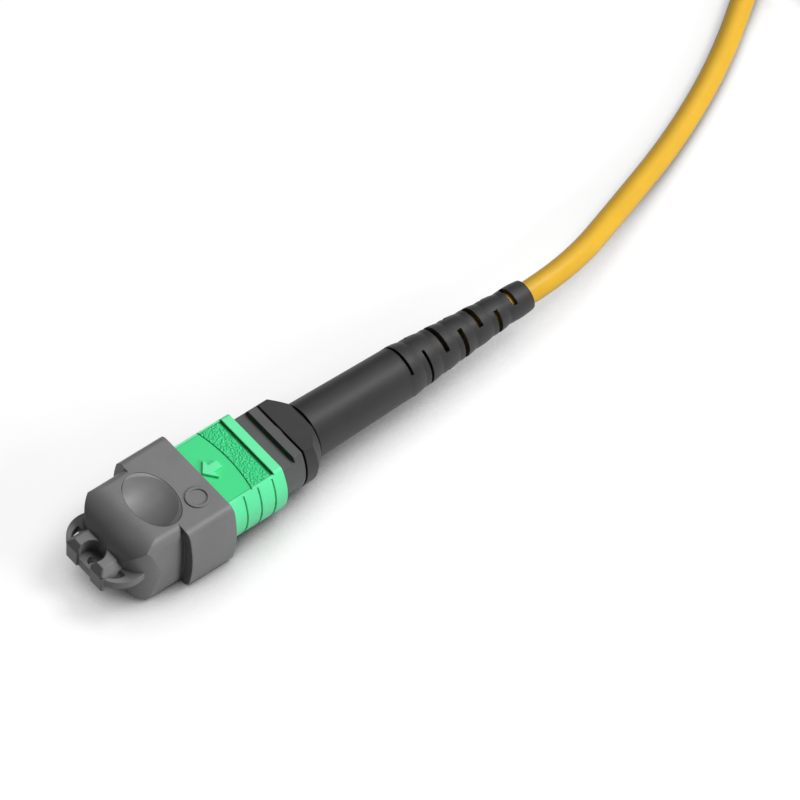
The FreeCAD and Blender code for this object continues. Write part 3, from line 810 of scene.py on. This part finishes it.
@dataclass
class Ferrule(Assembly):
    """Floating ferrule with its polished fibre ends, guide pins and ribbon.

    Args:
        fibres: number of fibres.
        pitch: distance between their middles, in millimetres.
        glass_radius: radius of the bare glass.
        proud: how far the polished glass stands out of the resin.
        face: position and height of the row on the slanted face.
        slant_deg: how far the face leans back at its lower edge.
    """

    body = Body.FERRULE
    fibres: int = 12
    pitch: float = 0.25
    glass_radius: float = 0.0625
    proud: float = 0.004
    face: tuple[float, float] = (26.424, 4.9)
    slant_deg: float = 8.0

    def build(self) -> None:
        """Dresses the ferrule group and adds the fibre ends."""
        resin = Plastic("ferrule_filled_resin", (0.03, 0.03, 0.034), 0.5, grain=0.008, grain_scale=16.0,
                        mottle=0.2)
        self.dress(resin.build(), "mt_ferrule")
        steel = Metal("guide_pin_ground", (0.75, 0.75, 0.77), 0.14, (6.0, 1.0, 1.0), grain=0.001)
        self.dress(steel.build(), "guide_pin_left", "guide_pin_right")
        self.dress(Plastic("ferrule_boot_rubber", (0.09, 0.09, 0.09), 0.6).build(), "ferrule_boot")
        self.dress(Plastic("ribbon_matrix", (0.5, 0.6, 0.66), 0.35, grain=0.003).build(), "fibre_ribbon")
        self.ends()

    def ends(self) -> bpy.types.Object:
        """Returns:
            The row of polished fibre ends.
        """
        grow = Growth("fibre_end_growth")
        count = grow.size("Fibres", self.fibres)
        pitch = grow.size("Pitch", self.pitch * MM)
        radius = grow.size("Glass Radius", self.glass_radius * MM)
        a, deep = math.radians(self.slant_deg), 0.05
        out = self.proud - deep / 2
        start = ((self.face[0] + out * math.cos(a)) * MM, -(self.fibres - 1) / 2 * self.pitch * MM,
                 (self.face[1] - out * math.sin(a)) * MM)
        row = grow.add("GeometryNodeMeshLine", {"Count": count, "Start Location": start,
                                                "Offset": grow.join(Y=pitch)})
        end = grow.add("GeometryNodeMeshCylinder", {"Vertices": 16, "Radius": radius, "Depth": deep * MM})
        many = grow.add("GeometryNodeInstanceOnPoints", {"Points": row.outputs[0], "Instance": end.outputs[0],
                                                         "Rotation": (0.0, math.pi / 2 + a, 0.0)})
        pen = Plastic("glass_polished", (0.7, 0.72, 0.74), 0.12, grain=0.0, mottle=0.02, scuff=0.0,
                      edge=0.01).build()
        return self.add(grow.finish(many.outputs[0], pen, "fibre_ends"), pen)


@dataclass
class Boot(Assembly):
    """Strain relief boot with its slotted tail.

    Args:
        parting: height, width and rise of the mould's parting line, in millimetres.
    """

    parting: Point = (4.9, 0.08, 0.025)

    def build(self) -> None:
        """Dresses the boot."""
        pen = Plastic("boot_black_rubber", (0.042, 0.042, 0.043), 0.47, grain=0.006, grain_scale=6.0,
                      scuff=0.22, gloss=0.32).build()
        pen.parting(*self.parting)
        self.dress(pen, "boot")


@dataclass(frozen=True)
class CordPlan:
    """Facts and route of the cable, in millimetres, in the part's frame.

    The coil is wound clockwise from above: a lower layer inwards, an upper layer outwards, and a last turn on
    top. Each change of radius or height has its own window of the turn, so that no turn meets another.

    Args:
        radius: outer radius of the jacket.
        length: real length of the free cable; not used.
        exit: where it leaves the boot.
        free: route points after the exit, on the floor from the third on.
        centre: centre of the stored coil.
        rings: radii of the turns, from the outermost inwards.
        levels: heights of the lower layer, the upper layer and the last turn.
        top_ring: radius of the last turn.
        entry_deg: angle at which the free run meets the outermost turn.
        inward: window in which the lower turns step inwards, in degrees after the entry.
        rise: window in which the innermost turn changes layer.
        outward: window in which the upper turns step outwards.
        climb: window in which the outermost turn climbs.
        shift: window in which it then moves in over the others.
        turned: degrees of winding from the entry to the straight end.
        per_turn: points for each turn.
        end_run: length of the straight end.
    """

    radius: float = 1.5
    length: float = 920.0
    exit: Point = (-32.7, 0.0, 4.9)
    free: tuple = ((-39.7, 0.0, 4.9), (-52.1, -4.7, 2.7), (-64.8, -9.3, 1.5), (-77.0, -15.0, 1.5),
                   (-88.2, -22.2, 1.5), (-100.7, -31.8, 1.5))
    centre: tuple[float, float] = (-116.5, -14.3)
    rings: tuple = (20.0, 17.0, 14.0, 11.0)
    levels: tuple = (1.8, 4.8, 7.7)
    top_ring: float = 18.3
    entry_deg: float = 280.0
    inward: tuple[float, float] = (268.0, 354.0)
    rise: tuple[float, float] = (238.0, 282.0)
    outward: tuple[float, float] = (156.0, 236.0)
    climb: tuple[float, float] = (146.0, 178.0)
    shift: tuple[float, float] = (168.0, 202.0)
    turned: float = 2980.0
    per_turn: int = 18
    end_run: float = 6.0

    def winding(self) -> list[Point]:
        """Returns:
            Control points of the coil, a fixed angle apart.
        """
        swell = 1.0 / math.cos(math.pi / self.per_turn)
        step = 360.0 / self.per_turn
        points = []
        for k in range(round(self.turned / step) + 1):
            radius, height = self.at(k * step)
            angle = math.radians(self.entry_deg - k * step)
            points.append((self.centre[0] + radius * swell * math.cos(angle),
                           self.centre[1] + radius * swell * math.sin(angle), height))
        return points

    def at(self, turned: float) -> tuple[float, float]:
        """Radius and height of the cable's centre line after that much winding.

        Args:
            turned: degrees since the coil's entry.

        Returns:
            Radius and height.
        """
        turn, rest = int(turned // 360), turned % 360
        last = len(self.rings) - 1
        low, high, top = self.levels
        if turn < last:
            return between(rest, self.inward, self.rings[turn], self.rings[turn + 1]), low
        if turn == last:
            return self.rings[last], between(rest, self.rise, low, high)
        ring = 2 * last + 1 - turn
        if ring > 0:
            return between(rest, self.outward, self.rings[ring], self.rings[ring - 1]), high
        rest += 360.0 * -ring
        return between(rest, self.shift, self.rings[0], self.top_ring), between(rest, self.climb, high, top)

    def end(self) -> list[Point]:
        """Returns:
            Control points of the straight end, which runs off the last turn towards +Y.
        """
        x = self.centre[0] - self.top_ring
        return [(x, self.centre[1] + self.end_run, self.levels[2])]

    def route(self) -> list[Point]:
        """Returns:
            All control points, in millimetres.
        """
        return [self.exit, *self.free, *self.winding(), *self.end()]


def between(value: float, window: tuple[float, float], before: float, after: float) -> float:
    """Args:
        value: where it is read.
        window: start and end of the change.
        before: result before it.
        after: result after it.

    Returns:
        A smooth change from one to the other.
    """
    share = min(1.0, max(0.0, (value - window[0]) / (window[1] - window[0])))
    return before + (after - before) * share * share * (3.0 - 2.0 * share)


@dataclass
class Cable(Assembly):
    """Jacketed cable, its strap, and the yarn and fibres at its cut end.

    Args:
        plan: its facts and route.
    """

    plan: CordPlan = CordPlan()

    def build(self) -> None:
        """Builds the cord and the pieces on it."""
        jacket = self.jacket()
        self.dress(jacket, "cable_stub")
        cord = self.add(self.spline("cable_cord"), jacket, "cable", "cable_coil")
        pieces = [Strap(self.frame, self.plan).build(), *CutEnd(self.frame, self.plan).build()]

    def jacket(self) -> Nodes:
        """Returns:
            The smooth yellow jacket.
        """
        return Plastic("jacket_yellow_smooth", (0.72, 0.42, 0.032), 0.42, grain=0.003, grain_scale=3.0,
                       mottle=0.03, scuff=0.05, shade=0.0, gloss=0.3).build()

    def spline(self, name: str) -> bpy.types.Object:
        """Args:
            name: object name.

        Returns:
            The cord as a curve with a round bevel.
        """
        data = bpy.data.curves.new(name, "CURVE")
        data.dimensions = "3D"
        data.bevel_depth = self.plan.radius * MM
        data.bevel_resolution = 6
        data.resolution_u = 10
        data.use_fill_caps = True
        line = data.splines.new("NURBS")
        points = self.plan.route()
        line.points.add(len(points) - 1)
        for slot, (x, y, z) in zip(line.points, points):
            slot.co = (x * MM, y * MM, z * MM, 1.0)
        line.order_u = 3
        line.use_endpoint_u = True
        line.use_smooth = True
        log.info("%s: %d control points", name, len(points))
        return bpy.data.objects.new(name, data)


@dataclass
class Strap(Assembly):
    """Hook-and-loop strap drawn round the coil, with its end lapped over the outside.

    Args:
        plan: the cable's plan.
        heading: where it crosses the coil, in degrees.
        width: of the strap, in millimetres.
        thick: of one layer.
        slack: gap to the cable.
        lap: shares of the loop, counted from its inner foot, between which the lapped end lies.
        lap_gap: gap between the two layers there.
        bend_step: degrees between the points round a corner.
    """

    plan: CordPlan
    heading: float = 235.0
    width: float = 6.0
    thick: float = 0.2
    slack: float = 0.05
    lap: tuple[float, float] = (0.36, 0.63)
    lap_gap: float = 0.02
    bend_step: float = 9.0

    def build(self) -> bpy.types.Object:
        """Returns:
            The strap.
        """
        half = self.thick / 2
        loop = self.loop(self.plan.radius + self.slack + half)
        outer = self.loop(self.plan.radius + self.slack + half + self.thick + self.lap_gap)
        count = len(outer)
        tail = outer[int(self.lap[0] * count):int(self.lap[1] * count)]
        faces: list = []
        rows = self.rows(loop, True, faces, 0) + self.rows(tail, False, faces, 4 * len(loop))
        mesh = bpy.data.meshes.new("coil_strap")
        mesh.from_pydata([tuple(v * MM for v in place) for place, _ in rows], [], faces)
        layer = mesh.uv_layers.new(name=WEAVE)
        for corner in mesh.loops:
            layer.data[corner.index].uv = rows[corner.vertex_index][1]
        pen = Webbing("strap_black_nap", (0.016, 0.016, 0.017)).build()
        return self.add(bpy.data.objects.new("coil_strap", mesh), pen, "coil_tie")

    def loop(self, reach: float) -> list:
        """Args:
            reach: distance from the centres of the outermost turns.

        Returns:
            Points round the coil's section: distance from the coil's axis, height and outward direction.
        """
        rings, (low, high, top) = self.plan.rings, self.plan.levels
        inner = math.sqrt((rings[-1] - self.plan.radius) ** 2 - (self.width / 2) ** 2) + self.plan.radius
        hull = [(inner, low), (rings[0], low), (rings[0], high), (self.plan.top_ring, top), (inner, high)]
        points = []
        for k, (r, z) in enumerate(hull):
            before, after = hull[k - 1], hull[(k + 1) % len(hull)]
            first = math.atan2(-(r - before[0]), z - before[1])
            turn = (math.atan2(-(after[0] - r), after[1] - z) - first) % (2 * math.pi)
            steps = max(2, round(math.degrees(turn) / self.bend_step))
            for i in range(steps + 1):
                a = first + turn * i / steps
                points.append((r + reach * math.cos(a), z + reach * math.sin(a), math.cos(a), math.sin(a)))
        return self.filled(points)

    def filled(self, points: list) -> list:
        """Args:
            points: corner stretches of the loop.

        Returns:
            The loop with points at most a millimetre apart.
        """
        result = []
        for k, here in enumerate(points):
            ahead = points[(k + 1) % len(points)]
            parts = max(1, math.ceil(math.dist(here[:2], ahead[:2])))
            for i in range(parts):
                result.append(tuple(a + (b - a) * i / parts for a, b in zip(here, ahead)))
        return result

    def rows(self, path: list, closed: bool, faces: list, start: int) -> list:
        """Adds the faces of one layer.

        Args:
            path: its points.
            closed: whether it is a ring.
            faces: list that its faces are added to.
            start: number of its first vertex.

        Returns:
            Its vertices in millimetres, each with its place on the weave.
        """
        a = math.radians(self.heading)
        out, side = (math.cos(a), math.sin(a)), (-math.sin(a), math.cos(a))
        half, wide = self.thick / 2, self.width / 2
        vertices, run = [], 0.0
        for k, (r, z, nr, nz) in enumerate(path):
            run += math.dist(path[k - 1][:2], (r, z)) if k else 0.0
            for off, across in ((half, -wide), (half, wide), (-half, wide), (-half, -wide)):
                x, height = r + off * nr, z + off * nz
                place = (self.plan.centre[0] + out[0] * x + side[0] * across,
                         self.plan.centre[1] + out[1] * x + side[1] * across, height)
                vertices.append((place, (run, across)))
        count = len(path)
        for k in range(count if closed else count - 1):
            here, there = start + 4 * k, start + 4 * ((k + 1) % count)
            for i in range(4):
                j = (i + 1) % 4
                faces.append((here + i, there + i, there + j, here + j))
        if not closed:
            last = start + 4 * (count - 1)
            faces.append((start, start + 1, start + 2, start + 3))
            faces.append((last + 3, last + 2, last + 1, last))
        return vertices


@dataclass
class CutEnd(Assembly):
    """Trimmed strength yarn and the twelve coloured fibres at the cut end of the cable.

    Args:
        plan: the cable's plan.
        yarns: number of yarn filaments.
        yarn_ring: radii between which they lie, in millimetres.
        yarn_radius: radius of a filament.
        yarn_length: their length.
        yarn_wander: how far their ends stray.
        fibre_rings: number and radius of each ring of fibres.
        fibre_radius: radius of a coated fibre.
        fibre_length: their length.
        noise_steps: steps through the noise from one strand to the next and along a strand.
        bends: points along a strand.
        sides: faces round a strand.
    """

    plan: CordPlan
    yarns: int = 90
    yarn_ring: tuple[float, float] = (0.68, 1.1)
    yarn_radius: float = 0.05
    yarn_length: float = 5.3
    yarn_wander: float = 0.35
    fibre_rings: tuple = ((3, 0.15), (9, 0.43))
    fibre_radius: float = 0.12
    fibre_length: float = 12.8
    noise_steps: tuple[float, float] = (7.31, 1.5)
    bends: int = 9
    sides: int = 8

    def build(self) -> list:
        """Returns:
            The yarn and the fibres.
        """
        return [self.yarn(), self.fibres()]

    def mouth(self) -> Point:
        """Returns:
            Middle of the cut end, in metres.
        """
        return tuple(v * MM for v in self.plan.end()[0])

    def strands(self, grow: Growth, points: Socket, radius: Socket, length: Socket,
                wander: float = 0.0) -> Socket:
        """Grows a strand towards +Y from every point.

        Args:
            grow: the tree.
            points: where the strands start.
            radius: radius of a strand.
            length: length of a strand.
            wander: how far the ends stray, in metres.

        Returns:
            The strands as a mesh.
        """
        index = grow.add("GeometryNodeInputIndex").outputs[0]
        links = {"Geometry": points, "Name": STRAND, "Value": index}
        named = grow.add("GeometryNodeStoreNamedAttribute", links, data_type="FLOAT", domain="POINT")
        line = grow.add("GeometryNodeCurvePrimitiveLine", {"End": grow.join(Y=length)})
        line = grow.add("GeometryNodeResampleCurve", {"Curve": line.outputs[0], "Count": self.bends})
        many = grow.add("GeometryNodeInstanceOnPoints",
                        {"Points": named.outputs[0], "Instance": line.outputs[0]})
        real = grow.add("GeometryNodeRealizeInstances", {0: many.outputs[0]})
        share = grow.add("GeometryNodeSplineParameter").outputs["Factor"]
        number = grow.add("GeometryNodeInputNamedAttribute", {"Name": STRAND}, data_type="FLOAT").outputs[0]
        apart, along = self.noise_steps
        spot = grow.join(X=grow.times(number, apart), Y=grow.times(share, along))
        noise = grow.add("ShaderNodeTexNoise", {"Vector": spot, "Scale": 1.0, "Detail": 1.0}).outputs["Color"]
        centred = grow.vector("SUBTRACT", {0: noise, 1: (0.5, 0.5, 0.5)})
        flat = grow.vector("MULTIPLY", {0: centred, 1: (1.0, 0.0, 1.0)})
        stray = grow.vector("SCALE", {0: flat, "Scale": grow.times(share, wander)})
        moved = grow.add("GeometryNodeSetPosition", {"Geometry": real.outputs[0], "Offset": stray})
        profile = grow.add("GeometryNodeCurvePrimitiveCircle", {"Resolution": self.sides, "Radius": radius})
        links = {"Curve": moved.outputs[0], "Profile Curve": profile.outputs[0], "Fill Caps": True}
        return grow.add("GeometryNodeCurveToMesh", links).outputs[0]

    def fibres(self) -> bpy.types.Object:
        """Returns:
            The twelve coated fibres.
        """
        grow = Growth("fibre_growth")
        radius = grow.size("Fibre Radius", self.fibre_radius * MM)
        length = grow.size("Fibre Length", self.fibre_length * MM)
        both = grow.add("GeometryNodeJoinGeometry")
        for count, ring in reversed(self.fibre_rings):
            circle = grow.add("GeometryNodeMeshCircle", {"Vertices": count, "Radius": ring * MM})
            links = {"Geometry": circle.outputs[0], "Translation": self.mouth(),
                     "Rotation": (math.pi / 2, 0.0, 0.0)}
            stood = grow.add("GeometryNodeTransform", links)
            grow.feed(both.inputs[0], stood.outputs[0])
        points = grow.add("GeometryNodeMeshToPoints", {"Mesh": both.outputs[0]}).outputs[0]
        pen = FIBRE_COLOURS.build()
        return self.add(grow.finish(self.strands(grow, points, radius, length), pen, "twelve_fibres"), pen,
                        "tail_fibres")

    def yarn(self) -> bpy.types.Object:
        """Returns:
            The trimmed yarn round the fibres.
        """
        grow = Growth("yarn_growth")
        count = grow.size("Filaments", self.yarns)
        radius = grow.size("Filament Radius", self.yarn_radius * MM)
        length = grow.size("Yarn Length", self.yarn_length * MM)
        near, far = (v * MM for v in self.yarn_ring)
        angle, ring = (grow.add("FunctionNodeRandomValue", {2: low, 3: high, "Seed": seed},
                                data_type="FLOAT").outputs[1]
                       for low, high, seed in ((0.0, 2 * math.pi, 3), (near, far, 5)))
        across, up = (grow.times(grow.math(wave, angle), ring) for wave in ("COSINE", "SINE"))
        spot = grow.join(X=across, Z=up)
        place = grow.vector("ADD", {0: spot, 1: self.mouth()})
        points = grow.add("GeometryNodePoints", {"Count": count, "Position": place}).outputs[0]
        pen = Plastic("yarn_gold", (0.8, 0.58, 0.14), 0.55, grain=0.02, grain_scale=5.0, edge=0.02).build()
        tube = self.strands(grow, points, radius, length, self.yarn_wander * MM)
        return self.add(grow.finish(tube, pen, "yarn_filaments"), pen, "tail_yarn")


# ---- studio


@dataclass(frozen=True)
class Lens:
    """The scene's camera.

    Args:
        place: position in millimetres.
        yaw: heading of the view in degrees, from +X towards +Y.
        pitch: degrees that it looks down.
        roll: degrees that it is turned about the view.
        focal: focal length as a multiple of the sensor's width.
        sensor: that width in millimetres.
        clip: nearest and farthest distance that is seen, in metres.
    """

    place: Point = (254.6, 284.43, 502.17)
    yaw: float = 226.63
    pitch: float = 52.12
    roll: float = 4.94
    focal: float = 6.78525
    sensor: float = 36.0
    clip: tuple[float, float] = (0.01, 5.0)

    def build(self) -> bpy.types.Object:
        """Returns:
            The camera, set as the scene's.
        """
        yaw, pitch, roll = (math.radians(v) for v in (self.yaw, self.pitch, self.roll))
        ahead = Vector((math.cos(pitch) * math.cos(yaw), math.cos(pitch) * math.sin(yaw), -math.sin(pitch)))
        level = ahead.cross(Vector((0, 0, 1))).normalized()
        rise = level.cross(ahead)
        right = level * math.cos(roll) + rise * math.sin(roll)
        up = rise * math.cos(roll) - level * math.sin(roll)
        data = bpy.data.cameras.new("camera")
        data.sensor_width = self.sensor
        data.lens = self.focal * self.sensor
        data.clip_start, data.clip_end = self.clip
        obj = bpy.data.objects.new("camera", data)
        turn = Matrix((right, up, -ahead)).transposed().to_4x4()
        obj.matrix_world = Matrix.Translation(Vector(self.place) * MM) @ turn
        bpy.context.scene.collection.objects.link(obj)
        bpy.context.scene.camera = obj
        return obj


@dataclass(frozen=True)
class Softbox:
    """One soft lamp, aimed at the plug.

    Args:
        name: object name.
        heading: where it stands, in degrees from +X towards +Y.
        height: degrees above the floor.
        away: distance in metres.
        size: side in metres.
        level: brightness that it gives a white surface facing it.
        shines: whether it shows as a highlight.
    """

    name: str
    heading: float
    height: float
    away: float
    size: float
    level: float
    shines: bool = True

    def build(self) -> None:
        """Adds the lamp."""
        data = bpy.data.lights.new(self.name, "AREA")
        data.size = self.size
        data.energy = self.level * (math.pi * self.away) ** 2
        obj = bpy.data.objects.new(self.name, data)
        obj.visible_glossy = self.shines
        a, h = math.radians(self.heading), math.radians(self.height)
        out = Vector((math.cos(h) * math.cos(a), math.cos(h) * math.sin(a), math.sin(h)))
        place = Vector(AIM) + out * self.away
        obj.matrix_world = Matrix.Translation(place) @ (-out).to_track_quat("-Z", "Y").to_matrix().to_4x4()
        bpy.context.scene.collection.objects.link(obj)


@dataclass
class Studio:
    """Pale floor with a painted contact shadow, even world and soft lamps.

    Args:
        lamps: the soft lamps.
        world: strength of the even light.
        bounce: how pale the floor is to the light that it throws back.
        lift: how much light the floor gives off where it is looked at; the painted contact shadow dims it.
        white: how pale it is there.
        reach: how far from the part the painted contact shadow begins, in millimetres.
        contact: how fast that shadow deepens.
        ease: how far its faint outer part is cut off.
        coil: middle of the stored coil.
        quiet: distances from that middle between which no painted contact shadow is drawn.
        floor_half: half the floor's side, in metres.
        floor_drop: how far it lies below the part.
    """

    lamps: tuple = (
        Softbox("key_lamp", 160.0, 60.0, 0.6, 0.25, 0.66),
        Softbox("side_lamp", 114.0, 24.0, 0.5, 0.2, 0.66, False),
        Softbox("back_lamp", 232.0, 60.0, 0.6, 0.28, 0.14),
    )
    world: float = 0.08
    bounce: float = 0.14
    lift: float = 0.66
    white: float = 0.42
    reach: float = 11.0
    contact: float = 0.6
    ease: float = 1.2
    coil: tuple[float, float] = (-116.5, -14.3)
    quiet: tuple[float, float] = (21.3, 26.5)
    floor_half: float = 1.5
    floor_drop: float = 0.0001

    def build(self) -> None:
        """Builds the studio."""
        self.floor()
        self.sky()
        for lamp in self.lamps:
            lamp.build()
        bpy.context.scene.view_settings.view_transform = "Standard"

    def floor(self) -> None:
        """Adds the floor plane."""
        mesh = bpy.data.meshes.new("floor")
        half = self.floor_half
        corners = [(-half, -half, 0), (half, -half, 0), (half, half, 0), (-half, half, 0)]
        mesh.from_pydata(corners, [], [(0, 1, 2, 3)])
        obj = bpy.data.objects.new("floor", mesh)
        obj.location.z = -self.floor_drop
        bpy.context.scene.collection.objects.link(obj)
        pen = Nodes("floor_white")
        path = pen.add("ShaderNodeLightPath").outputs
        seen = pen.math("MAXIMUM", path["Is Camera Ray"],
                        pen.math("MAXIMUM", path["Is Glossy Ray"], path["Is Transmission Ray"]))
        dull = (self.bounce, self.bounce, self.bounce)
        # painted shadow: an ambient-occlusion reading darkens the floor's colour and glow near the part, as
        # its contact shadow
        near = pen.times(pen.crevice(self.reach), self.ease, clamp=True)
        near = pen.math("POWER", near, self.contact)
        x, y, _ = pen.split(pen.place())
        x, y = pen.minus(x, self.coil[0]), pen.minus(y, self.coil[1])
        away = pen.math("SQRT", pen.plus(pen.times(x, x), pen.times(y, y)))
        near = pen.math("MAXIMUM", near, pen.window(away, *self.quiet, 1.0))
        pale = pen.mix(near, (0.0, 0.0, 0.0), (self.white, self.white, self.white))
        pen.set("Base Color", pen.mix(seen, dull, pale))
        pen.set("Roughness", 0.9)
        pen.set("Specular IOR Level", 0.0)
        pen.set("Emission Color", (1.0, 1.0, 1.0, 1.0))
        pen.set("Emission Strength", pen.times(pen.times(seen, near), self.lift))
        mesh.materials.append(pen.material)

    def sky(self) -> None:
        """Gives the world its even light and a white background."""
        world = bpy.data.worlds.new("studio")
        world.use_nodes = True
        bpy.context.scene.world = world
        back = world.node_tree.nodes["Background"]
        back.inputs["Color"].default_value = (1.0, 1.0, 1.0, 1.0)
        back.inputs["Strength"].default_value = self.world


def main() -> None:
    """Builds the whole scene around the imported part."""
    logging.basicConfig(level=logging.INFO, format="%(message)s")
    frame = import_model()
    for assembly in (DustCap(frame), CouplingSleeve(frame), PlugCore(frame), Ferrule(frame), Boot(frame),
                     Cable(frame)):
        assembly.build()
    Studio().build()
    Lens().build()


if __name__ == "__main__":
    main()
